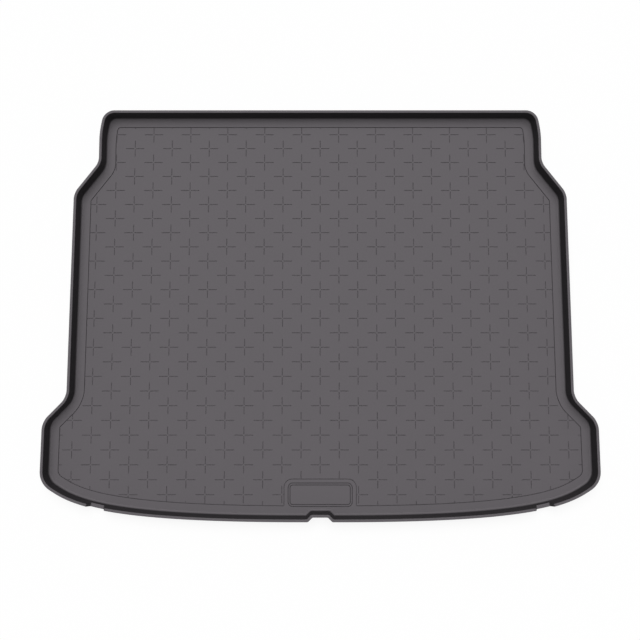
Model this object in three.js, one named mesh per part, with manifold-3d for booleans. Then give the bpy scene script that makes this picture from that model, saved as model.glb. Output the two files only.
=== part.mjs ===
// A car boot liner: one shallow tray moulded in dark grey rubbery plastic.
// It is a sheet with a raised rim, cut to the plan of a car's boot: a straight back edge behind the seats,
// shoulders beside the wheel arches, two wings at the front and a bowed front edge at the boot's sill.
// Lengths are in millimetres. +X is to the right, +Y is towards the seats and +Z is up.
// The origin is the middle of the tray's plan, on the surface that it lies on.

import * as THREE from 'three';
import { mergeGeometries, mergeVertices } from 'three/addons/utils/BufferGeometryUtils.js';
import Module from 'manifold-3d';

const wasm = await Module();
wasm.setup();

// Plan of the rim's outer edge: the right half, from the back edge to the front
const BACK_HALF_WIDTH = 449;
const BACK_CORNER_DRAW_IN = 8.3;
const BACK_TAPER_LENGTH = 45.7;
const BACK_LENGTH = 108.5;
const SHOULDER_STEP = 48.8;
const SHOULDER_RUN = 63.4;
const SIDE_FLARE = 4;
const SIDE_LENGTH = 410.8;
const WING_STEP = 46.9;
const WING_RUN = 48.4;
const WING_FLARE = 1.3;
const WING_LENGTH = 96.4;
const FRONT_BOW = 97.5;

// Radii of the plan's corners, in the same order
const BACK_CORNER_RADIUS = 25;
const BACK_TAPER_RADIUS = 165;
const SHOULDER_INNER_RADIUS = 30;
const SHOULDER_OUTER_RADIUS = 36;
const WING_INNER_RADIUS = 35;
const WING_OUTER_RADIUS = 38;
const FRONT_CORNER_RADIUS = 42;
const FRONT_CORNER_TURN = THREE.MathUtils.degToRad(56);

// The bowed front edge is a curve with one handle at the front corner and one at the notch
const FRONT_CORNER_HANDLE = 55;
const FRONT_MIDDLE_HANDLE = 383;

// Notch in the middle of the front edge, for the tailgate's catch
const NOTCH_STRAIGHT = 36;
const NOTCH_MOUTH_HALF = 24;
const NOTCH_TOP_HALF = 15;
const NOTCH_DEPTH = 8.9;
const NOTCH_RADIUS = 4;

// Section of the sheet
const SHEET = 3.2;
const RIM_HEIGHT = 25;
const FOOT_INSET = 9;
const WALL_DRAFT = Math.tan(THREE.MathUtils.degToRad(8));
const FOOT_RADIUS = 5;
const LIP_EDGE = 1;

// Low places in the front rim, one on each side
const LOW_FROM_SIDE = 114;
const LOW_FLAT_HALF = 11;
const LOW_RAMP = 9;
const LOW_HEIGHT = 8;

// Field of the floor that holds the crosses, sunk a little below the margin
const FIELD_INSET = 27.7;
const FIELD_DROP = 0.8;
const FIELD_EDGE_RUN = 0.6;
const FIELD_BACK_RADIUS = 8;
const FIELD_SHARP_RADIUS = 2;

// Bay of the margin that holds the plate, and the plate's raised frame
const BAY_HALF_WIDTH = 72;
const BAY_REACH = 52.5;
const BAY_RADIUS = 15;
const PLATE_HALF_WIDTH = 63;
const PLATE_LENGTH = 44.5;
const PLATE_GAP = 8.5;
const PLATE_RADIUS = 7;
const FRAME_WIDTH = 4;
const FRAME_HEIGHT = 0.5;

// Crosses pressed into the field, in rows that are set over by half a pitch
const CROSS_PITCH = 76.36;
const ROW_PITCH = 29.31;
const CENTRE_ROW_Y = 47.2;
const CROSS_HALF_WIDTH = 19;
const CROSS_HALF_LENGTH = 17;
const GROOVE_HALF = 1;
const GROOVE_DEPTH = 1;

// A cross that would show less than this of an arm inside the field's edge is left out
const LEAST_STUB = 5;

// Steps of the round stretches
const CORNER_STEPS = 3;
const BACK_CORNER_STEPS = 5;
const FRONT_CORNER_STEPS = 4;
const FRONT_STEPS = 9;
const RAMP_STEPS = 2;
const TIGHTEST_TURN = 0.8;

// Places that follow from the sizes above
const sideHalf = BACK_HALF_WIDTH + SHOULDER_STEP;
const wingHalf = sideHalf + SIDE_FLARE + WING_STEP;
const halfWidth = wingHalf + WING_FLARE;
const depth = BACK_LENGTH + SHOULDER_RUN + SIDE_LENGTH + WING_RUN + WING_LENGTH + FRONT_BOW;
const backY = depth / 2;
const frontY = -depth / 2;
const shoulderY = backY - BACK_LENGTH;
const sideBackY = shoulderY - SHOULDER_RUN;
const sideFrontY = sideBackY - SIDE_LENGTH;
const wingBackY = sideFrontY - WING_RUN;
const wingFrontY = wingBackY - WING_LENGTH;
const fieldTop = SHEET - FIELD_DROP;

const point = (x, y) => new THREE.Vector2(x, y);

// The corners of the right half, from the back edge to the end of the wing
const corners = [
  { at: point(BACK_HALF_WIDTH - BACK_CORNER_DRAW_IN, backY), radius: BACK_CORNER_RADIUS,
    fieldRadius: FIELD_BACK_RADIUS, steps: BACK_CORNER_STEPS },
  { at: point(BACK_HALF_WIDTH, backY - BACK_TAPER_LENGTH), radius: BACK_TAPER_RADIUS,
    fieldRadius: BACK_TAPER_RADIUS, steps: CORNER_STEPS },
  { at: point(BACK_HALF_WIDTH, shoulderY), radius: SHOULDER_INNER_RADIUS,
    fieldRadius: SHOULDER_INNER_RADIUS + FIELD_INSET, steps: CORNER_STEPS },
  { at: point(sideHalf, sideBackY), radius: SHOULDER_OUTER_RADIUS,
    fieldRadius: FIELD_SHARP_RADIUS, steps: CORNER_STEPS },
  { at: point(sideHalf + SIDE_FLARE, sideFrontY), radius: WING_INNER_RADIUS,
    fieldRadius: WING_INNER_RADIUS + FIELD_INSET, steps: CORNER_STEPS },
  { at: point(wingHalf, wingBackY), radius: WING_OUTER_RADIUS,
    fieldRadius: FIELD_SHARP_RADIUS, steps: CORNER_STEPS },
];

// The field's edge turns sharply where the rim has an outer corner, so it needs no arc there
const fieldCorners = corners.map(({ at, fieldRadius, steps }) => (
  { at, radius: fieldRadius, steps: fieldRadius > FIELD_SHARP_RADIUS ? steps : 1 }
));

// The corners of the notch, from its mouth to its top
const notchCorners = [
  { at: point(NOTCH_MOUTH_HALF, frontY), radius: NOTCH_RADIUS, steps: RAMP_STEPS },
  { at: point(NOTCH_TOP_HALF, frontY + NOTCH_DEPTH), radius: NOTCH_RADIUS, steps: RAMP_STEPS },
];

// The half outline is walked clockwise, so its inner side is on the right
const inward = (direction) => point(direction.y, -direction.x);

// Moves an open run of points inwards and rounds its corners.
// An inset makes a corner that bulges outwards tighter and one that bulges inwards wider.
function insetRun(start, turns, end, inset, radiusOf) {
  const places = [start, ...turns.map((turn) => turn.at), end];
  const headings = places.slice(1).map((place, i) => place.clone().sub(places[i]).normalize());
  const moved = places.map((place, i) => {
    const before = inward(headings[Math.max(i - 1, 0)]);
    const after = inward(headings[Math.min(i, headings.length - 1)]);
    const mitre = before.clone().add(after).multiplyScalar(inset / (1 + before.dot(after)));
    return place.clone().add(mitre);
  });
  const run = [moved[0]];
  turns.forEach((turn, i) => {
    const corner = moved[i + 1];
    const arriving = headings[i];
    const leaving = headings[i + 1];
    const bend = Math.atan2(arriving.cross(leaving), arriving.dot(leaving));
    const roomBefore = corner.distanceTo(moved[i]) / 2;
    const roomAfter = corner.distanceTo(moved[i + 2]) / 2;
    const half = Math.tan(Math.abs(bend) / 2);
    const radius = Math.min(radiusOf(turn, bend), roomBefore / half, roomAfter / half);
    const side = inward(arriving).multiplyScalar(-Math.sign(bend));
    const first = corner.clone().addScaledVector(arriving, -radius * half);
    const centre = first.clone().addScaledVector(side, radius);
    for (let step = 0; step <= turn.steps; step += 1) {
      run.push(first.clone().rotateAround(centre, (bend * step) / turn.steps));
    }
  });
  run.push(moved[moved.length - 1]);
  return run;
}

const rimRadius = (inset) => (turn, bend) =>
  Math.max(turn.radius + Math.sign(bend) * inset, TIGHTEST_TURN);

// The bowed front edge, from the end of the front corner's arc to the notch's straight
const cornerCentre = point(halfWidth - FRONT_CORNER_RADIUS, wingFrontY);
const arcEnd = point(FRONT_CORNER_RADIUS, 0).rotateAround(point(0, 0), -FRONT_CORNER_TURN).add(cornerCentre);
const arcHeading = point(0, -1).rotateAround(point(0, 0), -FRONT_CORNER_TURN);
const frontCurve = new THREE.CubicBezierCurve(
  arcEnd,
  arcEnd.clone().addScaledVector(arcHeading, FRONT_CORNER_HANDLE),
  point(NOTCH_STRAIGHT + FRONT_MIDDLE_HANDLE, frontY),
  point(NOTCH_STRAIGHT, frontY),
);

// Where the front curve passes a given x
function curveAt(x) {
  let low = 0;
  let high = 1;
  for (let i = 0; i < 40; i += 1) {
    const middle = (low + high) / 2;
    if (frontCurve.getPoint(middle).x > x) {
      low = middle;
    } else {
      high = middle;
    }
  }
  return low;
}

// The rim's height above the floor at a place on the front edge
const lowX = halfWidth - LOW_FROM_SIDE;
function rimHeightAt(x) {
  const rise = THREE.MathUtils.smoothstep(Math.abs(x - lowX), LOW_FLAT_HALF, LOW_FLAT_HALF + LOW_RAMP);
  return THREE.MathUtils.lerp(LOW_HEIGHT, RIM_HEIGHT, rise);
}

// Stations on the front curve: even ones, and more of them on the ramps of the low place
function frontStations() {
  const lowReach = LOW_FLAT_HALF + LOW_RAMP;
  const lowStart = curveAt(lowX + lowReach);
  const lowEnd = curveAt(lowX - lowReach);
  const stations = [];
  for (let step = 1; step < FRONT_STEPS; step += 1) {
    const t = step / FRONT_STEPS;
    if (t < lowStart || t > lowEnd) {
      stations.push(t);
    }
  }
  for (let step = 0; step <= RAMP_STEPS; step += 1) {
    const away = LOW_FLAT_HALF + (LOW_RAMP * step) / RAMP_STEPS;
    stations.push(curveAt(lowX + away), curveAt(lowX - away));
  }
  return [...stations.sort((a, b) => a - b), 1];
}
const stations = frontStations();

// One closed ring round the whole tray. insetAt gives its inset for a rim height.
function rimRing(insetAt, heightAt) {
  const inset = insetAt(RIM_HEIGHT);
  const z = heightAt(RIM_HEIGHT);
  const place = (spot) => new THREE.Vector3(spot.x, spot.y, z);
  const wingEnd = point(halfWidth, wingFrontY);
  const half = insetRun(point(0, backY), corners, wingEnd, inset, rimRadius(inset)).map(place);
  for (let step = 1; step <= FRONT_CORNER_STEPS; step += 1) {
    const turn = (-FRONT_CORNER_TURN * step) / FRONT_CORNER_STEPS;
    const spoke = point(FRONT_CORNER_RADIUS - inset, 0).rotateAround(point(0, 0), turn);
    half.push(place(spoke.add(cornerCentre)));
  }
  for (const t of stations) {
    const edge = frontCurve.getPoint(t);
    const height = rimHeightAt(edge.x);
    const spot = edge.clone().addScaledVector(inward(frontCurve.getTangent(t)), insetAt(height));
    half.push(new THREE.Vector3(spot.x, spot.y, heightAt(height)));
  }
  const notchStart = point(NOTCH_STRAIGHT, frontY);
  const notchTop = point(0, frontY + NOTCH_DEPTH);
  const notch = insetRun(notchStart, notchCorners, notchTop, inset, rimRadius(inset));
  half.push(...notch.slice(1).map(place));
  return closeRing(half);
}

// Mirrors a half that runs from the back's middle to the front's middle, and turns it anticlockwise
function closeRing(half) {
  const left = half.slice(1, -1).map((spot) => new THREE.Vector3(-spot.x, spot.y, spot.z));
  return [...left, half[half.length - 1], ...half.slice(1, -1).reverse(), half[0]];
}

// The field's edge has the tray's own plan, with sharper corners and no notch
function fieldRing(inset, z) {
  const wingEnd = point(halfWidth, wingFrontY);
  const half = insetRun(point(0, backY), fieldCorners, wingEnd, inset, (turn) => turn.radius);
  for (let step = 1; step <= FRONT_CORNER_STEPS; step += 1) {
    const turn = (-FRONT_CORNER_TURN * step) / FRONT_CORNER_STEPS;
    const spoke = point(FRONT_CORNER_RADIUS - inset, 0).rotateAround(point(0, 0), turn);
    half.push(spoke.add(cornerCentre));
  }
  for (let step = 1; step <= FRONT_STEPS; step += 1) {
    const t = step / FRONT_STEPS;
    half.push(frontCurve.getPoint(t).addScaledVector(inward(frontCurve.getTangent(t)), inset));
  }
  half.push(point(0, frontY + inset));
  return closeRing(half.map((spot) => new THREE.Vector3(spot.x, spot.y, z)));
}

// An upright rounded rectangle about the middle line, anticlockwise
function roundedRing(halfX, lowY, highY, radius, z) {
  const turns = [
    [point(halfX - radius, lowY + radius), -Math.PI / 2],
    [point(halfX - radius, highY - radius), 0],
    [point(-halfX + radius, highY - radius), Math.PI / 2],
    [point(-halfX + radius, lowY + radius), Math.PI],
  ];
  return turns.flatMap(([centre, start]) => {
    const arc = [];
    for (let step = 0; step <= CORNER_STEPS; step += 1) {
      const angle = start + (Math.PI / 2) * (step / CORNER_STEPS);
      const x = centre.x + radius * Math.cos(angle);
      arc.push(new THREE.Vector3(x, centre.y + radius * Math.sin(angle), z));
    }
    return arc;
  });
}

// Skins a stack of anticlockwise rings and closes both ends. A first ring of one point is a tip.
function loft(rings) {
  const spots = rings.flat();
  const starts = rings.map((ring, i) => rings.slice(0, i).reduce((sum, each) => sum + each.length, 0));
  const faces = [];
  rings.slice(1).forEach((ring, i) => {
    const below = starts[i];
    const above = starts[i + 1];
    const tip = rings[i].length === 1;
    ring.forEach((_, j) => {
      const next = (j + 1) % ring.length;
      if (tip) {
        faces.push(below, above + next, above + j);
      } else {
        faces.push(below + j, below + next, above + next, below + j, above + next, above + j);
      }
    });
  });
  const cap = (ring, start, flip) => {
    const flat = ring.map((spot) => point(spot.x, spot.y));
    for (const [a, b, c] of THREE.ShapeUtils.triangulateShape(flat, [])) {
      faces.push(start + a, start + (flip ? c : b), start + (flip ? b : c));
    }
  };
  if (rings[0].length > 1) {
    cap(rings[0], 0, true);
  }
  cap(rings[rings.length - 1], starts[starts.length - 1], false);
  const geometry = new THREE.BufferGeometry();
  geometry.setAttribute('position', new THREE.Float32BufferAttribute(spots.flatMap((v) => v.toArray()), 3));
  geometry.setIndex(faces);
  return geometry;
}

function solidOf(geometry) {
  const merged = mergeVertices(geometry);
  const vertProperties = new Float32Array(merged.attributes.position.array);
  const triVerts = new Uint32Array(merged.index.array);
  return new wasm.Manifold(new wasm.Mesh({ numProp: 3, vertProperties, triVerts }));
}

function geometryOf(solid) {
  const mesh = solid.getMesh();
  const geometry = new THREE.BufferGeometry();
  geometry.setAttribute('position', new THREE.BufferAttribute(new Float32Array(mesh.vertProperties), 3));
  geometry.setIndex(new THREE.BufferAttribute(new Uint32Array(mesh.triVerts), 1));
  geometry.computeVertexNormals();
  return geometry;
}

// The plain tray: its section is walked from the flat underside, out under the lip, over it and down to
// the floor. The wall leans outwards by its draft, so a lower rim has a wider lip.
function trayShell() {
  const lean = Math.hypot(1, WALL_DRAFT);
  const innerFace = (z) => FOOT_INSET - (z - SHEET) * WALL_DRAFT;
  const outerFace = (z) => innerFace(z) - SHEET * lean;
  const outerRadius = FOOT_RADIUS + SHEET;
  const bend = 1 - Math.SQRT1_2;
  const section = [
    { inset: () => outerFace(0) + outerRadius / 2, z: () => 0 },
    { inset: () => outerFace(outerRadius / 2), z: () => outerRadius / 2 },
    { inset: (rim) => outerFace(rim), z: (rim) => rim },
    { inset: () => 0, z: (rim) => rim },
    { inset: () => 0, z: (rim) => rim + SHEET },
    { inset: (rim) => innerFace(rim + SHEET) - LIP_EDGE, z: (rim) => rim + SHEET },
    { inset: (rim) => innerFace(rim + SHEET - LIP_EDGE), z: (rim) => rim + SHEET - LIP_EDGE },
    { inset: () => innerFace(SHEET + FOOT_RADIUS), z: () => SHEET + FOOT_RADIUS },
    { inset: () => FOOT_INSET + FOOT_RADIUS * bend * bend, z: () => SHEET + FOOT_RADIUS * bend },
    { inset: () => FOOT_INSET + FOOT_RADIUS, z: () => SHEET },
  ];
  return solidOf(loft(section.map((stop) => rimRing(stop.inset, stop.z))));
}

// What is taken off the floor to sink the field, with the plate's bay left standing in it.
// The runs say how far the block's edge stands inside the field's edge, at its top and at its bottom.
const bayTopY = frontY + FIELD_INSET + BAY_REACH;
function fieldBlock(top, bottom, topRun, bottomRun) {
  const field = solidOf(loft([
    fieldRing(FIELD_INSET + bottomRun, bottom),
    fieldRing(FIELD_INSET + topRun, top),
  ]));
  const bayFront = frontY + FIELD_INSET - BAY_RADIUS;
  const bayRing = (run, z) =>
    roundedRing(BAY_HALF_WIDTH + run, bayFront, bayTopY + run, BAY_RADIUS, z);
  const bay = solidOf(loft([
    bayRing(bottomRun, bottom - SHEET),
    bayRing(bottomRun, bottom),
    bayRing(topRun, top),
    bayRing(topRun, top + SHEET),
  ]));
  return field.subtract(bay);
}

// One cross: arms of even width whose grooves run down to a point under its middle
function crossCutter() {
  const arms = [
    point(CROSS_HALF_WIDTH, 0),
    point(0, CROSS_HALF_LENGTH),
    point(-CROSS_HALF_WIDTH, 0),
    point(0, -CROSS_HALF_LENGTH),
  ];
  const outline = arms.flatMap((arm) => {
    const along = arm.clone().normalize();
    const across = point(-along.y, along.x).multiplyScalar(GROOVE_HALF);
    const crook = along.clone().multiplyScalar(GROOVE_HALF).add(across);
    return [arm.clone().sub(across), arm.clone().add(across), crook];
  });
  const ringAt = (z) => outline.map((spot) => new THREE.Vector3(spot.x, spot.y, z));
  const tip = [new THREE.Vector3(0, 0, fieldTop - GROOVE_DEPTH)];
  return loft([tip, ringAt(fieldTop), ringAt(fieldTop + GROOVE_DEPTH)]);
}

// Whether a ring goes round a place, by the number of its sides that lie to the right of the place
function ringHolds(ring, x, y) {
  const crossings = ring.filter((spot, i) => {
    const next = ring[(i + 1) % ring.length];
    const along = (y - spot.y) / (next.y - spot.y);
    return (spot.y > y) !== (next.y > y) && x < spot.x + along * (next.x - spot.x);
  });
  return crossings.length % 2 === 1;
}

// All the crosses, clipped where they run past the field's edge
function crossBlock() {
  const cross = crossCutter();
  const reach = fieldRing(FIELD_INSET - CROSS_HALF_LENGTH + LEAST_STUB, 0);
  const copies = [];
  const rows = Math.ceil(depth / ROW_PITCH);
  const columns = Math.ceil(halfWidth / CROSS_PITCH);
  for (let row = -rows; row <= rows; row += 1) {
    const y = CENTRE_ROW_Y + row * ROW_PITCH;
    const shift = row % 2 === 0 ? 0 : CROSS_PITCH / 2;
    for (let column = -columns - 1; column <= columns; column += 1) {
      const x = column * CROSS_PITCH + shift;
      if (ringHolds(reach, x, y)) {
        copies.push(cross.clone().translate(x, y, 0));
      }
    }
  }
  const inside = fieldBlock(SHEET + FIELD_DROP, 0, FIELD_EDGE_RUN, FIELD_EDGE_RUN);
  return solidOf(mergeGeometries(copies)).intersect(inside);
}

// The plate's raised frame. The plate inside it is bare.
function plateFrame() {
  const highY = bayTopY - PLATE_GAP;
  const lowY = highY - PLATE_LENGTH;
  const bottom = SHEET / 2;
  const top = SHEET + FRAME_HEIGHT;
  const outer = solidOf(loft([
    roundedRing(PLATE_HALF_WIDTH, lowY, highY, PLATE_RADIUS, bottom),
    roundedRing(PLATE_HALF_WIDTH, lowY, highY, PLATE_RADIUS, top),
  ]));
  const innerHalf = PLATE_HALF_WIDTH - FRAME_WIDTH;
  const innerRadius = PLATE_RADIUS - FRAME_WIDTH;
  const inner = solidOf(loft([
    roundedRing(innerHalf, lowY + FRAME_WIDTH, highY - FRAME_WIDTH, innerRadius, 0),
    roundedRing(innerHalf, lowY + FRAME_WIDTH, highY - FRAME_WIDTH, innerRadius, top + SHEET),
  ]));
  return outer.subtract(inner);
}

const tray = trayShell()
  .subtract(fieldBlock(SHEET + FIELD_DROP, fieldTop, -FIELD_EDGE_RUN, FIELD_EDGE_RUN))
  .subtract(crossBlock())
  .add(plateFrame());

const rubber = new THREE.MeshStandardMaterial({ color: 0x666366, roughness: 0.75, metalness: 0 });
const liner = new THREE.Mesh(geometryOf(tray), rubber);
liner.name = 'liner';

const bootLiner = new THREE.Group();
bootLiner.add(liner);

export default bootLiner;
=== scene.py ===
# %% [markdown]
# A car boot liner is one shallow tray, moulded from dark grey rubber. It lies in the boot and catches
# dirt and water. This lesson models it as a moulder would describe it: a plan, a section that is carried
# round the plan, a field of small pressed crosses and a plate with a raised frame. The frame file is
# loaded first, because it holds the CAD model whose place this tray takes and whose box it has to fill.

# %% Load the frame
import math

import bmesh
import bpy
from mathutils import Matrix, Vector
from mathutils.geometry import interpolate_bezier


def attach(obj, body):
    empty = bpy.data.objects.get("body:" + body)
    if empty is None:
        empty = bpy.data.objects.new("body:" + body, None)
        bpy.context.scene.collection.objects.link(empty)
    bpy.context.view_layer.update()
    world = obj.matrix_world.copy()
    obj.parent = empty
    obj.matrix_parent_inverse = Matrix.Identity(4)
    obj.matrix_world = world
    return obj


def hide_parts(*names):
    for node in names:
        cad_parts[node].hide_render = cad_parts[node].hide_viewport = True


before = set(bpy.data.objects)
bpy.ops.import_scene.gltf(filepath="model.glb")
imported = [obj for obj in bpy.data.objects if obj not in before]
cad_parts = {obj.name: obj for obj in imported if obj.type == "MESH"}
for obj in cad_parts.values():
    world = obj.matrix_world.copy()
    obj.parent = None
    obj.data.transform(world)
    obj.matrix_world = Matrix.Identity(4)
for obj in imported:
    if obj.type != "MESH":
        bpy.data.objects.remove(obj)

scene = bpy.context.scene
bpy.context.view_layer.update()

# %% [markdown]
# The photograph looks almost straight down on the tray. Its rows of crosses are a ruler: their spacing
# across the picture fixes how high the camera stands, and how the rows close up towards the back fixes
# its small tilt.

# %% Camera
PHOTO_PIXELS = 640
FOCAL_PIXELS = 750
SENSOR_WIDTH = 36
CAMERA_PLACE = (0, -0.1389, 1.517)
CAMERA_TILT = math.radians(4.69)
CAMERA_YAW = math.radians(0.014)

camera_data = bpy.data.cameras.new("photo_camera")
camera_data.sensor_fit = "HORIZONTAL"
camera_data.sensor_width = SENSOR_WIDTH
camera_data.lens = SENSOR_WIDTH * FOCAL_PIXELS / PHOTO_PIXELS
camera = bpy.data.objects.new("photo_camera", camera_data)
camera.location = CAMERA_PLACE
camera.rotation_euler = (CAMERA_TILT, CAMERA_YAW, 0)
scene.collection.objects.link(camera)
scene.camera = camera
print("Camera lens", round(camera_data.lens, 2), "mm")

# %% [markdown]
# Shader maths is easier to read as sums than as a web of boxes. This small class wraps the output of a
# node, so that an expression such as 1 - mask adds the Math node that works it out. A second class holds
# a material's nodes.


# %% Shader expressions
def fill_socket(tree, entry, value):
    """Links a signal to a socket, or sets the socket to a plain value."""
    if isinstance(value, Signal):
        tree.links.new(value.socket, entry)
    else:
        entry.default_value = value


class Signal:
    """The output of a node. Sums and products of signals and numbers add Math nodes."""

    def __init__(self, tree, socket):
        self.tree = tree
        self.socket = socket

    def math(self, operation, *values):
        node = self.tree.nodes.new("ShaderNodeMath")
        node.operation = operation
        for entry, value in zip(node.inputs, values):
            fill_socket(self.tree, entry, value)
        return Signal(self.tree, node.outputs[0])

    def __add__(self, other):
        return self.math("ADD", self, other)

    def __sub__(self, other):
        return self.math("SUBTRACT", self, other)

    def __rsub__(self, other):
        return self.math("SUBTRACT", other, self)

    def __mul__(self, other):
        return self.math("MULTIPLY", self, other)

    __radd__ = __add__
    __rmul__ = __mul__


class Nodes:
    """The nodes of a material or a world."""

    def __init__(self, owner):
        owner.use_nodes = True
        self.tree = owner.node_tree
        self.tree.nodes.clear()

    def node(self, kind, sockets=None, output=0, **settings):
        """Adds a node, makes its settings, fills its sockets and returns one of its outputs."""
        node = self.tree.nodes.new(kind)
        for setting, value in settings.items():
            setattr(node, setting, value)
        for name, value in (sockets or {}).items():
            fill_socket(self.tree, node.inputs[name], value)
        if node.outputs:
            return Signal(self.tree, node.outputs[output])
        return None


# %% [markdown]
# The photograph's background is plain white. A floor that is only painted white would need very strong
# lamps, and they would burn out the tray. So the floor is pale under the lamps, and the camera sees most
# of it as pure white. A part of it stays an ordinary surface, so the tray's soft shadow is still there.

# %% Floor and backdrop
FLOOR_SIZE = 16
FLOOR_GAP = 0.0002
FLOOR_COLOUR = (0.9, 0.9, 0.9, 1)
PURE_WHITE = (1, 1, 1, 1)
WHITE_SHARE = 0.85

floor_material = bpy.data.materials.new("studio_floor")
floor_finish = Nodes(floor_material)
camera_ray = floor_finish.node("ShaderNodeLightPath", output="Is Camera Ray")
glossy_ray = floor_finish.node("ShaderNodeLightPath", output="Is Glossy Ray")
seen = camera_ray.math("MAXIMUM", camera_ray, glossy_ray)
painted = floor_finish.node("ShaderNodeBsdfDiffuse", {"Color": FLOOR_COLOUR})
white = floor_finish.node("ShaderNodeEmission", {"Color": PURE_WHITE, "Strength": 1})
floor_mix = floor_finish.node("ShaderNodeMixShader", {0: seen * WHITE_SHARE, 1: painted, 2: white})
floor_finish.node("ShaderNodeOutputMaterial", {"Surface": floor_mix})

floor_mesh = bpy.data.meshes.new("studio_floor")
floor_shape = bmesh.new()
bmesh.ops.create_grid(floor_shape, x_segments=1, y_segments=1, size=FLOOR_SIZE / 2)
bmesh.ops.translate(floor_shape, verts=floor_shape.verts, vec=(0, 0, -FLOOR_GAP))
floor_shape.to_mesh(floor_mesh)
floor_shape.free()
floor = bpy.data.objects.new("studio_floor", floor_mesh)
floor_mesh.materials.append(floor_material)
scene.collection.objects.link(floor)

# %% [markdown]
# The shadows on the tray's floor tell where the light comes from. They reach 20 mm in from the back, 10
# mm in from the sides and hardly at all from the front, under a rim that is 25 mm high. So the light is a
# broad soft one from above that leans to the back and a trace to the left. A sun lamp with a very wide
# disc gives that light evenly.

# %% Lamp and room light
LAMP_LEAN = math.radians(21)
LAMP_SIDE_LEAN = math.radians(3)
LAMP_DISC = math.radians(60)
LAMP_STRENGTH = 3.13
ROOM_LIGHT = 0.15

lamp_data = bpy.data.lights.new("broad_soft_lamp", "SUN")
lamp_data.angle = LAMP_DISC
lamp_data.energy = LAMP_STRENGTH
lamp = bpy.data.objects.new("broad_soft_lamp", lamp_data)
lamp.rotation_euler = (-LAMP_LEAN, -LAMP_SIDE_LEAN, 0)
scene.collection.objects.link(lamp)

world = bpy.data.worlds.new("studio_room")
room = Nodes(world)
room_camera = room.node("ShaderNodeLightPath", output="Is Camera Ray")
room_glossy = room.node("ShaderNodeLightPath", output="Is Glossy Ray")
room_seen = room_camera.math("MAXIMUM", room_camera, room_glossy)
room_strength = room_seen * (1 - ROOM_LIGHT) + ROOM_LIGHT
backdrop = room.node("ShaderNodeBackground", {"Color": PURE_WHITE, "Strength": room_strength})
room.node("ShaderNodeOutputWorld", {"Surface": backdrop})
scene.world = world
scene.view_settings.view_transform = "Standard"

# %% [markdown]
# The plan is the outline of the rim, seen from above. It is the same on both sides, so only the right
# half is drawn: from the middle of the back edge, past the shoulder beside the wheel arch and out to the
# wing at the front. A plan that is drawn with sharp corners is easy to measure, and it lets each corner
# have its own radius afterwards.

# %% Sizes of the plan
MM = 0.001

BACK_HALF_WIDTH = 449 * MM
BACK_CORNER_DRAW_IN = 8.3 * MM
BACK_TAPER_LENGTH = 45.7 * MM
BACK_LENGTH = 108.5 * MM
SHOULDER_STEP = 48.8 * MM
SHOULDER_RUN = 63.4 * MM
SIDE_FLARE = 4 * MM
SIDE_LENGTH = 410.8 * MM
WING_STEP = 46.9 * MM
WING_RUN = 48.4 * MM
WING_FLARE = 1.3 * MM
WING_LENGTH = 96.4 * MM
FRONT_BOW = 97.5 * MM

FRONT_CORNER_RADIUS = 42 * MM
FRONT_CORNER_TURN = math.radians(56)
FRONT_CORNER_HANDLE = 55 * MM
FRONT_MIDDLE_HANDLE = 383 * MM

NOTCH_STRAIGHT = 36 * MM
NOTCH_MOUTH_HALF = 24 * MM
NOTCH_TOP_HALF = 15 * MM
NOTCH_DEPTH = 8.9 * MM
NOTCH_RADIUS = 4 * MM

side_half = BACK_HALF_WIDTH + SHOULDER_STEP
wing_half = side_half + SIDE_FLARE + WING_STEP
half_width = wing_half + WING_FLARE
depth = BACK_LENGTH + SHOULDER_RUN + SIDE_LENGTH + WING_RUN + WING_LENGTH + FRONT_BOW
back_y = depth / 2
front_y = -depth / 2
shoulder_y = back_y - BACK_LENGTH
side_back_y = shoulder_y - SHOULDER_RUN
side_front_y = side_back_y - SIDE_LENGTH
wing_back_y = side_front_y - WING_RUN
wing_front_y = wing_back_y - WING_LENGTH
print("The plan is", round(2 * half_width, 4), "by", round(depth, 4), "m")

# %% [markdown]
# Each corner has two radii. The first rounds the rim, and the second rounds the edge of the sunk field,
# which runs parallel to the rim but turns more sharply where the rim bulges outwards.

# %% Corners of the right half
FIELD_INSET = 27.7 * MM

back_corner = (BACK_HALF_WIDTH - BACK_CORNER_DRAW_IN, back_y)
taper_corner = (BACK_HALF_WIDTH, back_y - BACK_TAPER_LENGTH)
shoulder_inner = (BACK_HALF_WIDTH, shoulder_y)
shoulder_outer = (side_half, side_back_y)
wing_inner = (side_half + SIDE_FLARE, side_front_y)
wing_outer = (wing_half, wing_back_y)
corner_places = [back_corner, taper_corner, shoulder_inner, shoulder_outer, wing_inner, wing_outer]

rim_radii = [25 * MM, 165 * MM, 30 * MM, 36 * MM, 35 * MM, 38 * MM]
field_radii = [8 * MM, 165 * MM, 38 * MM, 3 * MM, 35 * MM + FIELD_INSET, 3 * MM]

MOUTH_MARK = 11
TOP_MARK = 12

# %% [markdown]
# The front edge has a low place on each side, so its outline needs a few more points there. They lie on
# lines that cross the edge squarely, at the bottom and up both ramps of the low place.

# %% The bowed front edge and its low places
LOW_FROM_SIDE = 110 * MM
LOW_FLAT_HALF = 12.5 * MM
LOW_RAMP = 6.5 * MM
FRONT_POINTS = 72

corner_centre = Vector((half_width - FRONT_CORNER_RADIUS, wing_front_y))
arc_spoke = Vector((math.cos(FRONT_CORNER_TURN), -math.sin(FRONT_CORNER_TURN)))
arc_heading = Vector((arc_spoke.y, -arc_spoke.x))
arc_end = corner_centre + arc_spoke * FRONT_CORNER_RADIUS
front_curve = interpolate_bezier(
    arc_end,
    arc_end + arc_heading * FRONT_CORNER_HANDLE,
    Vector((NOTCH_STRAIGHT + FRONT_MIDDLE_HANDLE, front_y)),
    Vector((NOTCH_STRAIGHT, front_y)),
    FRONT_POINTS,
)

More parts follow.
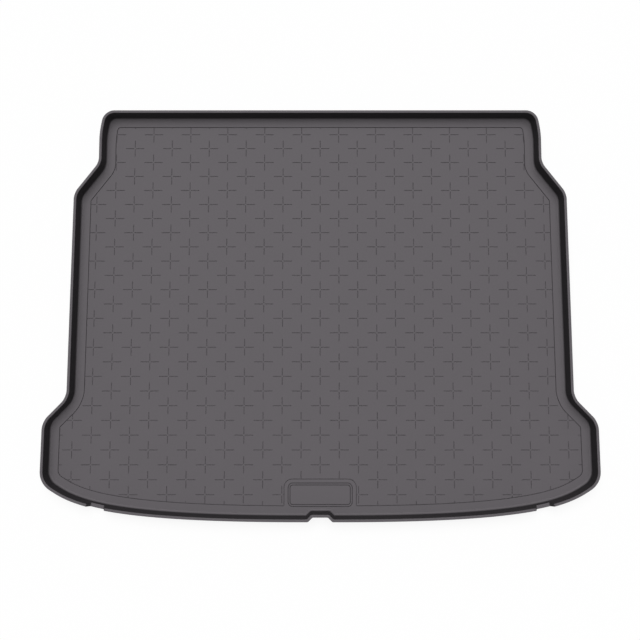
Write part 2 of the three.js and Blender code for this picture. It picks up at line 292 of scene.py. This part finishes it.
low_x = half_width - LOW_FROM_SIDE
low_index = min(range(len(front_curve)), key=lambda i: abs(front_curve[i].x - low_x))
low_place = front_curve[low_index]
low_heading = (front_curve[low_index + 1] - front_curve[low_index - 1]).normalized()
low_inward = Vector((low_heading.y, -low_heading.x))
low_turn = math.degrees(math.atan2(low_heading.y, -low_heading.x))
print("The low places are", round(low_turn, 1), "degrees off square")


# %% [markdown]
# A pen that extrudes a single vertex draws the half plan. A spin turns the round front corner, a mirror
# adds the left half and one face fills the outline. The corners carry a mark, so that the next step can
# find them.

# %% Draw the plan
FRONT_CORNER_STEPS = 12
RAMP_CUTS = 6
NEAR_TIMES = 3
TOUCHING = 0.01 * MM


def draw_to(plan, pen, place, mark=0):
    """Draws a straight edge from the pen to a place and returns the pen there."""
    marks = plan.verts.layers.int["corner"]
    drawn = bmesh.ops.extrude_vert_indiv(plan, verts=[pen])
    pen = drawn["verts"][0]
    pen.co = (place[0], place[1], 0)
    pen[marks] = mark
    return pen


def plan_face(plan, with_notch):
    """Draws the outline with sharp corners and returns the one face that fills it."""
    marks = plan.verts.layers.int.new("corner")
    pen = bmesh.ops.create_vert(plan, co=(0, back_y, 0))["vert"][0]
    for number, place in enumerate(corner_places, start=1):
        pen = draw_to(plan, pen, place, number)
    pen = draw_to(plan, pen, (half_width, wing_front_y))
    centre = corner_centre.to_3d()
    spun = bmesh.ops.spin(plan, geom=[pen], cent=centre, axis=(0, 0, 1), angle=-FRONT_CORNER_TURN,
                          steps=FRONT_CORNER_STEPS)
    pen = next(part for part in spun["geom_last"] if isinstance(part, bmesh.types.BMVert))
    for place in front_curve[1:]:
        pen = draw_to(plan, pen, place)
    if with_notch:
        pen = draw_to(plan, pen, (NOTCH_MOUTH_HALF, front_y), MOUTH_MARK)
        pen = draw_to(plan, pen, (NOTCH_TOP_HALF, front_y + NOTCH_DEPTH), TOP_MARK)
        pen = draw_to(plan, pen, (0, front_y + NOTCH_DEPTH))
        cut_ramps(plan)
    else:
        pen = draw_to(plan, pen, (0, front_y))
    bmesh.ops.mirror(plan, geom=plan.verts[:] + plan.edges[:], axis="X", merge_dist=TOUCHING)
    filled = bmesh.ops.contextual_create(plan, geom=plan.edges[:])
    return filled["faces"][0]


def cut_ramps(plan):
    """Adds points to the front edge where the ramps of the low place cross it."""
    marks = plan.verts.layers.int["corner"]
    for step in range(RAMP_CUTS + 1):
        reach = LOW_FLAT_HALF + LOW_RAMP * step / RAMP_CUTS
        for side in (-1, 1):
            place = low_place + low_heading * reach * side
            nearby = NEAR_TIMES * reach
            near = [edge for edge in plan.edges if (edge.verts[0].co.xy - low_place).length < nearby]
            ends = list({end for edge in near for end in edge.verts})
            cut = bmesh.ops.bisect_plane(plan, geom=ends + near, plane_co=place.to_3d(),
                                         plane_no=low_heading.to_3d())
            for part in cut["geom_cut"]:
                if isinstance(part, bmesh.types.BMVert):
                    part[marks] = 0


# %% [markdown]
# A bevel on a single vertex rounds one corner of the outline. It is told how far from the corner its arc
# starts, and that follows from the radius and from how much the outline turns there.

# %% Round the corners
CORNER_SEGMENTS = 10


def round_corners(plan, radii):
    """Rounds the marked corners, each with its own radius, and returns the rounded face."""
    marks = plan.verts.layers.int["corner"]
    for corner in [vert for vert in plan.verts if 1 <= vert[marks] <= len(radii)]:
        reach = radii[corner[marks] - 1] * math.tan(corner.calc_edge_angle() / 2)
        bmesh.ops.bevel(plan, geom=[corner], affect="VERTICES", offset_type="OFFSET", offset=reach,
                        segments=CORNER_SEGMENTS, profile=0.5, material=-1)
    return plan.faces[:][0]


# %% [markdown]
# The section is what a cut through the rim would show: the sheet lies flat, turns up into a wall with a
# soft radius at its foot, leans outwards so that it leaves the mould, and ends in a lip that is folded
# over. A stop of the section is an inset from the outline and a height. Only its corners are given, and
# this helper rounds them.

# %% Sizes of the section
SHEET = 3.2 * MM
RIM_HEIGHT = 25 * MM
FOOT_INSET = 9 * MM
WALL_DRAFT = math.tan(math.radians(8))
FOOT_RADIUS = 5 * MM
LIP_RADIUS = 1 * MM
LIP_UNDER_RADIUS = 0.6 * MM
LIP_STEPS = 4
LIP_UNDER_STEPS = 3
FOOT_STEPS = 8
LOW_HEIGHT = 11 * MM
lip_top = RIM_HEIGHT + SHEET


def inner_wall(height):
    """Inset of the wall's inner face at a height."""
    return FOOT_INSET - (height - SHEET) * WALL_DRAFT


def outer_wall(height):
    """Inset of the wall's outer face at a height."""
    return inner_wall(height) - SHEET * math.hypot(1, WALL_DRAFT)


def rounded_path(stops):
    """Rounds a path's corners. A stop is an inset, a height, a radius and a number of steps."""
    path = [Vector(stops[0][:2])]
    for before, (inset, height, radius, steps), after in zip(stops, stops[1:], stops[2:]):
        corner = Vector((inset, height))
        arriving = (corner - Vector(before[:2])).normalized()
        leaving = (Vector(after[:2]) - corner).normalized()
        bend = arriving.angle_signed(leaving)
        side = Vector((arriving.y, -arriving.x)) * math.copysign(1, bend)
        first = corner - arriving * radius * math.tan(abs(bend) / 2)
        centre = first + side * radius
        for step in range(steps + 1):
            turn = -bend * step / steps
            spoke = first - centre
            turned = Vector((
                spoke.x * math.cos(turn) - spoke.y * math.sin(turn),
                spoke.x * math.sin(turn) + spoke.y * math.cos(turn),
            ))
            path.append(centre + turned)
    path.append(Vector(stops[-1][:2]))
    return path


# %% Section of the rim
over_lip = rounded_path([
    (0, lip_top - SHEET / 2, 0, 0),
    (0, lip_top, LIP_RADIUS, LIP_STEPS),
    (inner_wall(lip_top), lip_top, LIP_RADIUS, LIP_STEPS),
    (FOOT_INSET, SHEET, FOOT_RADIUS, FOOT_STEPS),
    (FOOT_INSET + 2 * FOOT_RADIUS, SHEET, 0, 0),
])
under_lip = rounded_path([
    (0, lip_top - SHEET / 2, 0, 0),
    (0, RIM_HEIGHT, LIP_UNDER_RADIUS, LIP_UNDER_STEPS),
    (outer_wall(RIM_HEIGHT), RIM_HEIGHT, LIP_UNDER_RADIUS, LIP_UNDER_STEPS),
    (outer_wall(0), 0, FOOT_RADIUS + SHEET, FOOT_STEPS),
    (outer_wall(0) + 2 * FOOT_RADIUS, 0, 0, 0),
])
print("The section has", len(over_lip), "stops above and", len(under_lip), "below")

# %% [markdown]
# The filled plan is pushed up into a slab as thick as the lip's upright edge. Then the slab's top is
# inset again and again, each time with the next stop's step inwards and downwards, and that walks over
# the lip and down to the floor. The slab's underside walks under the lip and down the outside of the wall
# in the same way.


# %% Carry the section round the plan
def follow_section(body, cap, section):
    """Insets a cap of the body from stop to stop of a section."""
    insets = body.verts.layers.float["inset"]
    for start, stop in zip(section, section[1:]):
        step = stop - start
        outwards = step.y * math.copysign(1, cap.normal.z)
        bmesh.ops.inset_region(body, faces=[cap], thickness=step.x, depth=outwards, use_even_offset=True)
        for vert in cap.verts:
            vert[insets] = stop.x


def push_up(body, face, height):
    """Extrudes a face upwards and returns the body's caps, the lower one first."""
    pushed = bmesh.ops.extrude_face_region(body, geom=[face])
    lifted = [part for part in pushed["geom"] if isinstance(part, bmesh.types.BMVert)]
    upper = next(part for part in pushed["geom"] if isinstance(part, bmesh.types.BMFace))
    bmesh.ops.translate(body, verts=lifted, vec=(0, 0, height))
    bmesh.ops.recalc_face_normals(body, faces=body.faces[:])
    return face, upper


tray = bmesh.new()
tray.verts.layers.float.new("inset")
plan_face(tray, with_notch=True)
outline = round_corners(tray, rim_radii)
bmesh.ops.translate(tray, verts=tray.verts[:], vec=(0, 0, under_lip[1].y))
underside, top = push_up(tray, outline, over_lip[1].y - under_lip[1].y)
follow_section(tray, top, over_lip[1:-1])
follow_section(tray, underside, under_lip[1:-1])
open_edges = sum(not edge.is_manifold for edge in tray.edges)
print("The tray has", len(tray.faces), "faces and", open_edges, "open edges")

# %% [markdown]
# The two low places are pressed out of the finished rim. Every vertex of the lip sinks by as much as the
# rim is lower there, and the vertices on the wall also slide inwards along its lean. So the lip grows
# wider where it is lower. The ramp on each side eases in and out, so that it has no corners.

# %% Sink the low places
insets = tray.verts.layers.float["inset"]
above_foot = (SHEET + RIM_HEIGHT) / 2
past_lip = 1.5 * LIP_RADIUS
for vert in tray.verts:
    mirrored = Vector((abs(vert.co.x), vert.co.y))
    away = abs((mirrored - low_place).dot(low_heading))
    if vert.co.z < above_foot or vert.co.y > 0 or away > LOW_FLAT_HALF + LOW_RAMP:
        continue
    ramp = min(max((away - LOW_FLAT_HALF) / LOW_RAMP, 0), 1)
    eased = ramp * ramp * (3 - 2 * ramp)
    sink = (RIM_HEIGHT - LOW_HEIGHT) * (1 - eased)
    vert.co.z -= sink
    if vert[insets] > past_lip:
        vert.co.x += sink * WALL_DRAFT * low_inward.x * math.copysign(1, vert.co.x)
        vert.co.y += sink * WALL_DRAFT * low_inward.y

# %% [markdown]
# The notch for the tailgate's catch is still sharp. Its corners run all the way round the section as
# chains of edges, and one bevel rounds each of them.

# %% Round the notch
NOTCH_TURN = math.radians(45)
NOTCH_SEGMENTS = 4

marks = tray.verts.layers.int["corner"]
for mark in (MOUTH_MARK, TOP_MARK):
    for side in (-1, 1):
        chain = [
            edge for edge in tray.edges
            if all(end[marks] == mark and end.co.x * side > 0 for end in edge.verts)
        ]
        reach = NOTCH_RADIUS * math.tan(NOTCH_TURN / 2)
        bmesh.ops.bevel(tray, geom=chain, affect="EDGES", offset_type="OFFSET", offset=reach,
                        segments=NOTCH_SEGMENTS, profile=0.5, material=-1)
open_edges = sum(not edge.is_manifold for edge in tray.edges)
print("The rounded tray has", open_edges, "open edges")


# %% [markdown]
# The rest is cut out of the tray or added to it, as a mould maker would cut the mould. A Boolean modifier
# does one cut with a whole block at a time, however many pieces the block has.


# %% Objects and cuts
def object_from(body, name):
    """Turns a bmesh into an object with its faces pointing outwards."""
    bmesh.ops.recalc_face_normals(body, faces=body.faces[:])
    mesh = bpy.data.meshes.new(name)
    body.to_mesh(mesh)
    body.free()
    made = bpy.data.objects.new(name, mesh)
    scene.collection.objects.link(made)
    return made


def apply_modifiers(target):
    """Bakes the modifiers of an object into its mesh."""
    shown = target.evaluated_get(bpy.context.evaluated_depsgraph_get())
    finished = bpy.data.meshes.new_from_object(shown)
    target.modifiers.clear()
    target.data = finished


def cut(target, tool, operation):
    """Combines an object with a tool and removes the tool."""
    boolean = target.modifiers.new("cut", "BOOLEAN")
    boolean.operation = operation
    boolean.solver = "MANIFOLD"
    boolean.object = tool
    apply_modifiers(target)
    bpy.data.objects.remove(tool)


liner = object_from(tray, "boot_liner")

# %% [markdown]
# The middle of the floor is sunk by less than a millimetre, and the crosses lie in this field. A bay of
# the margin reaches into it from the front and holds the plate. The block that sinks the field is the
# plan again, inset, with the bay cut away from it. The bay's corners carry the two marks that follow
# those of the plan. The block cuts a fine groove along its edge, because the photograph shows a thin dark
# line there.

# %% Sizes of the field and its bay
FIELD_DROP = 0.8 * MM
FIELD_FLARE = 1.2 * MM
FIELD_EDGE_RADIUS = 0.3 * MM
FIELD_EDGE_STEPS = 3
FIELD_ABOVE = 0.1 * MM
FIELD_GROOVE_RUN = 0.7 * MM
FIELD_GROOVE_DEPTH = 0.7 * MM
BAY_HALF_WIDTH = 72 * MM
BAY_REACH = 52.5 * MM
BAY_RADIUS = 15 * MM
BAY_FOOT_RADIUS = 3 * MM
BAY_MARK = 7
BAY_FOOT_MARK = 8
BLOCK_TOP = 1 * MM

field_floor = SHEET - FIELD_DROP
bay_top_y = front_y + FIELD_INSET + BAY_REACH
field_side = rounded_path([
    (-FIELD_FLARE, SHEET + FIELD_ABOVE, 0, 0),
    (-FIELD_GROOVE_RUN, SHEET, FIELD_EDGE_RADIUS, FIELD_EDGE_STEPS),
    (0, field_floor - FIELD_GROOVE_DEPTH, FIELD_EDGE_RADIUS, FIELD_EDGE_STEPS),
    (FIELD_GROOVE_RUN, field_floor, FIELD_EDGE_RADIUS, FIELD_EDGE_STEPS),
    (FIELD_FLARE, field_floor, 0, 0),
])


# %% Cut the field
def cut_bay(plan, widen):
    """Cuts the bay out of the field's face and marks its corners."""
    reach = BAY_HALF_WIDTH - widen
    top_y = bay_top_y - widen
    cuts = [((reach, 0, 0), (1, 0, 0)), ((-reach, 0, 0), (1, 0, 0)), ((0, top_y, 0), (0, 1, 0))]
    for place, across in cuts:
        everything = plan.verts[:] + plan.edges[:] + plan.faces[:]
        bmesh.ops.bisect_plane(plan, geom=everything, plane_co=place, plane_no=across)
    bay = [face for face in plan.faces if abs(face.calc_center_median().x) < reach
           and face.calc_center_median().y < top_y]
    bmesh.ops.delete(plan, geom=bay, context="FACES")
    bmesh.ops.dissolve_faces(plan, faces=plan.faces[:])
    marks = plan.verts.layers.int["corner"]
    for vert in plan.verts:
        at_side = abs(abs(vert.co.x) - reach) < TOUCHING
        if at_side and abs(vert.co.y - top_y) < TOUCHING:
            vert[marks] = BAY_MARK
        elif at_side and vert.co.y < top_y:
            vert[marks] = BAY_FOOT_MARK


def field_block(side, name):
    """A block with the field's plan. Its side goes down through the stops of a section."""
    block = bmesh.new()
    block.verts.layers.float.new("inset")
    face = plan_face(block, with_notch=False)
    first = side[0]
    bmesh.ops.inset_region(block, faces=[face], thickness=FIELD_INSET + first.x, use_even_offset=True,
                           use_boundary=True)
    bmesh.ops.delete(block, geom=[other for other in block.faces if other != face], context="FACES")
    cut_bay(block, -first.x)
    outline = round_corners(block, field_radii + [BAY_RADIUS, BAY_FOOT_RADIUS])
    bmesh.ops.translate(block, verts=block.verts[:], vec=(0, 0, first.y))
    lower, upper = push_up(block, outline, BLOCK_TOP)
    follow_section(block, lower, side)
    return object_from(block, name)


cut(liner, field_block(field_side, "field_block"), "DIFFERENCE")
print("With its field sunk the liner has", len(liner.data.polygons), "faces")

# %% [markdown]
# Each cross is four short grooves that stop just before they meet, so a small bridge of rubber stands in
# its middle. One groove is a flat shape with round ends, pushed up to cut the surface and inset downwards
# into a soft trough. Each step of the trough is a share of the groove's half width and of its depth. The
# crosses repeat every second row, so two crosses make a cell, and two Array modifiers lay the cells out.

# %% Sizes of the crosses
CROSS_PITCH = 76.36 * MM
ROW_PITCH = 29.31 * MM
CENTRE_ROW_Y = 47.2 * MM
CROSS_HALF_WIDTH = 19 * MM
CROSS_HALF_LENGTH = 17 * MM
CROSS_BRIDGE_HALF = 1.7 * MM
GROOVE_HALF = 0.8 * MM
GROOVE_END_RADIUS = 0.7 * MM
GROOVE_END_SEGMENTS = 2
GROOVE_DEPTH = 0.78 * MM
GROOVE_ABOVE = 0.4 * MM
TROUGH = ((0.45, 0.75), (0.35, 0.25))
COLUMNS = 16
ROWS = 16


# %% Press the crosses
def rounded_rectangle(body, width, length, radius, segments):
    """Adds a flat rectangle with round corners about the origin and returns its face."""
    made = bmesh.ops.create_grid(body, x_segments=1, y_segments=1, size=1 / 2)["verts"]
    bmesh.ops.scale(body, verts=made, vec=(width, length, 1))
    rounded = bmesh.ops.bevel(body, geom=made, affect="VERTICES", offset_type="OFFSET", offset=radius,
                              segments=segments, profile=0.5, material=-1)
    return rounded["verts"][0].link_faces[0]


def add_groove(cell, turn, near, far):
    """Adds a groove that runs from near to far, turned about the cross's middle by a number of degrees."""
    face = rounded_rectangle(cell, far - near, 2 * GROOVE_HALF, GROOVE_END_RADIUS, GROOVE_END_SEGMENTS)
    shape = face.verts[:]
    bmesh.ops.translate(cell, verts=shape, vec=((near + far) / 2, 0, 0))
    turned = Matrix.Rotation(math.radians(turn), 3, "Z")
    bmesh.ops.rotate(cell, verts=shape, cent=(0, 0, 0), matrix=turned)
    bottom, _ = push_up(cell, face, GROOVE_ABOVE)
    for inwards, downwards in TROUGH:
        bmesh.ops.inset_region(cell, faces=[bottom], thickness=inwards * GROOVE_HALF,
                               depth=downwards * GROOVE_DEPTH, use_even_offset=True)


cell = bmesh.new()
arms = (
    (0, CROSS_HALF_WIDTH),
    (90, CROSS_HALF_LENGTH),
    (180, CROSS_HALF_WIDTH),
    (270, CROSS_HALF_LENGTH),
)
for turn, reach in arms:
    add_groove(cell, turn, CROSS_BRIDGE_HALF, reach)
second = bmesh.ops.duplicate(cell, geom=cell.verts[:] + cell.edges[:] + cell.faces[:])["geom"]
second_verts = [part for part in second if isinstance(part, bmesh.types.BMVert)]
bmesh.ops.translate(cell, verts=second_verts, vec=(CROSS_PITCH / 2, ROW_PITCH, 0))
cell_start = (-COLUMNS / 2 * CROSS_PITCH, CENTRE_ROW_Y - ROWS * ROW_PITCH, field_floor)
bmesh.ops.translate(cell, verts=cell.verts[:], vec=cell_start)
print("A cell of two crosses has", len(cell.faces), "faces")

crosses = object_from(cell, "crosses")
for count, offset in ((COLUMNS, (CROSS_PITCH, 0, 0)), (ROWS, (0, 2 * ROW_PITCH, 0))):
    array = crosses.modifiers.new("rows", "ARRAY")
    array.count = count
    array.use_relative_offset = False
    array.use_constant_offset = True
    array.constant_offset_displace = offset
apply_modifiers(crosses)

# %% [markdown]
# The rows run past the field's edge, as they do on the real tray, where the edge simply cuts them off. So
# the crosses are first clipped to the field, and then they are pressed into it.

# %% Clip the crosses to the field and press them in
clip_side = [Vector((FIELD_GROOVE_RUN, SHEET)), Vector((FIELD_GROOVE_RUN, 0))]
cut(crosses, field_block(clip_side, "field_clip"), "INTERSECT")
cut(liner, crosses, "DIFFERENCE")
print("With its crosses the liner has", len(liner.data.polygons), "faces")

# %% [markdown]
# The plate in the bay is left bare, and a raised frame goes round it. On the photograph the frame is a
# light line between two dark ones, so it gets a fine groove on each side.

# %% Raise the plate's frame
PLATE_HALF_WIDTH = 63 * MM
PLATE_LENGTH = 44.5 * MM
PLATE_GAP = 8.5 * MM
PLATE_RADIUS = 8.5 * MM
PLATE_SEGMENTS = 8
FRAME_WIDTH = 2.4 * MM
FRAME_HEIGHT = 0.5 * MM
FRAME_GROOVE_WIDTH = 1.5 * MM
FRAME_GROOVE_DEPTH = 1.1 * MM


def frame_ring(outside, width, low, high, name, trough=()):
    """A ring whose outer edge lies a distance outside the plate's edge. A trough deepens its underside."""
    ring = bmesh.new()
    ring_width = 2 * (PLATE_HALF_WIDTH + outside)
    ring_length = PLATE_LENGTH + 2 * outside
    face = rounded_rectangle(ring, ring_width, ring_length, PLATE_RADIUS + outside, PLATE_SEGMENTS)
    middle_y = bay_top_y - PLATE_GAP - PLATE_LENGTH / 2
    bmesh.ops.translate(ring, verts=ring.verts[:], vec=(0, middle_y, low))
    bmesh.ops.inset_region(ring, faces=[face], thickness=width, use_even_offset=True, use_boundary=True)
    bmesh.ops.delete(ring, geom=[face], context="FACES")
    flat = ring.faces[:]
    pushed = bmesh.ops.extrude_face_region(ring, geom=flat)
    lifted = [part for part in pushed["geom"] if isinstance(part, bmesh.types.BMVert)]
    bmesh.ops.translate(ring, verts=lifted, vec=(0, 0, high - low))
    bmesh.ops.recalc_face_normals(ring, faces=ring.faces[:])
    for inwards, downwards in trough:
        bmesh.ops.inset_region(ring, faces=flat, thickness=inwards * width / 2,
                               depth=downwards * FRAME_GROOVE_DEPTH, use_even_offset=True)
    return object_from(ring, name)


for outside in (FRAME_GROOVE_WIDTH, -FRAME_WIDTH):
    groove = frame_ring(outside, FRAME_GROOVE_WIDTH, SHEET, SHEET + GROOVE_ABOVE, "frame_groove", TROUGH)
    cut(liner, groove, "DIFFERENCE")
cut(liner, frame_ring(0, FRAME_WIDTH, SHEET / 2, SHEET + FRAME_HEIGHT, "frame_ridge"), "UNION")
print("The whole liner has", len(liner.data.polygons), "faces")

# %% [markdown]
# Smooth shading makes the round edges look round. The large flat faces beside them must not bend with
# them, so edges that turn sharply are marked sharp, and the Weighted Normal modifier lets the large faces
# set the direction.

# %% Smooth shading
SHARP_ANGLE = math.radians(35)

for polygon in liner.data.polygons:
    polygon.use_smooth = True
liner.data.set_sharp_from_angle(angle=SHARP_ANGLE)
weighted = liner.modifiers.new("flat_faces_lead", "WEIGHTED_NORMAL")
weighted.keep_sharp = True
apply_modifiers(liner)
triangles = sum(len(polygon.vertices) - 2 for polygon in liner.data.polygons)
print("The liner has", triangles, "triangles")

# %% [markdown]
# The rubber is dark grey with a trace of red and blue in it, and it isn't glossy. The mould gives it a
# fine grain, which holds a little dust. Shade is painted into the colour by slope: steep faces, the walls
# and the slopes of the grooves, are painted nearly black beside the level faces. Real rubber is never one
# even colour either: it is a little cloudy over a hand's breadth.

# %% Rubber
RUBBER_COLOUR = (0.092, 0.084, 0.092)
# The share of the colour that steep faces keep under the painted shade.
STEEP_SHADE_SHARE = 0.21
STEEP = 0.3
LEVEL = 0.95
RUBBER_ROUGHNESS = 0.6
RUBBER_SPECULAR = 0.2
CLOUD_SIZE = 12
CLOUD_DETAIL = 3
CLOUD_SHARE = 0.16
CLOUD_ROUGHNESS = 0.12
GRAIN_SIZE = 900
GRAIN_DETAIL = 2
FINE_GRAIN_SIZE = 2600
FINE_GRAIN_DETAIL = 1
FINE_GRAIN_SHARE = 0.3
GRAIN_HEIGHT = 0.12 * MM
GRAIN_STRENGTH = 0.5
GRAIN_ROUGHNESS = 0.2
DUST_SHARE = 0.25
NOISE_MIDDLE = 0.5

rubber_material = bpy.data.materials.new("moulded_rubber")
rubber = Nodes(rubber_material)
place = rubber.node("ShaderNodeTexCoord", output="Object")


def noise(size, detail):
    """Adds a noise that is fixed to the tray and returns its values, which lie about NOISE_MIDDLE."""
    return rubber.node("ShaderNodeTexNoise", {"Vector": place, "Scale": size, "Detail": detail})


cloud = noise(CLOUD_SIZE, CLOUD_DETAIL)
grain = noise(GRAIN_SIZE, GRAIN_DETAIL)
fine_grain = noise(FINE_GRAIN_SIZE, FINE_GRAIN_DETAIL)
# How level a face is sets the painted shade: steep faces get darker.
normal = rubber.node("ShaderNodeTexCoord", output="Normal")
upright = rubber.node("ShaderNodeSeparateXYZ", {0: normal}, output="Z")
facing = upright.math("ABSOLUTE", upright)
level = rubber.node("ShaderNodeMapRange", {"Value": facing, "From Min": STEEP, "From Max": LEVEL},
                    interpolation_type="SMOOTHSTEP")
# Painted shade: steep faces, the walls and the slopes of the grooves, keep only a share of the colour.
slope_shade = STEEP_SHADE_SHARE + level * (1 - STEEP_SHADE_SHARE)
cloudiness = cloud - NOISE_MIDDLE
graininess = grain - NOISE_MIDDLE
# The painted shade by slope, with random cloudy and dusty tone on top.
shade_and_tone = slope_shade * (1 + cloudiness * CLOUD_SHARE + graininess * DUST_SHARE)
colour = rubber.node("ShaderNodeVectorMath", {0: RUBBER_COLOUR, "Scale": shade_and_tone}, operation="SCALE")
roughness = RUBBER_ROUGHNESS + cloudiness * CLOUD_ROUGHNESS + graininess * GRAIN_ROUGHNESS
relief = grain * (1 - FINE_GRAIN_SHARE) + fine_grain * FINE_GRAIN_SHARE
bump = rubber.node("ShaderNodeBump", {
    "Height": relief,
    "Distance": GRAIN_HEIGHT,
    "Strength": GRAIN_STRENGTH,
})
surface = rubber.node("ShaderNodeBsdfPrincipled", {
    "Base Color": colour,
    "Roughness": roughness,
    "Normal": bump,
    "Specular IOR Level": RUBBER_SPECULAR,
})
rubber.node("ShaderNodeOutputMaterial", {"Surface": surface})
liner.data.materials.clear()
liner.data.materials.append(rubber_material)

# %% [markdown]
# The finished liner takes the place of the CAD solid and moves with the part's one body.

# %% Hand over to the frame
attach(liner, "root")
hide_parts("liner")
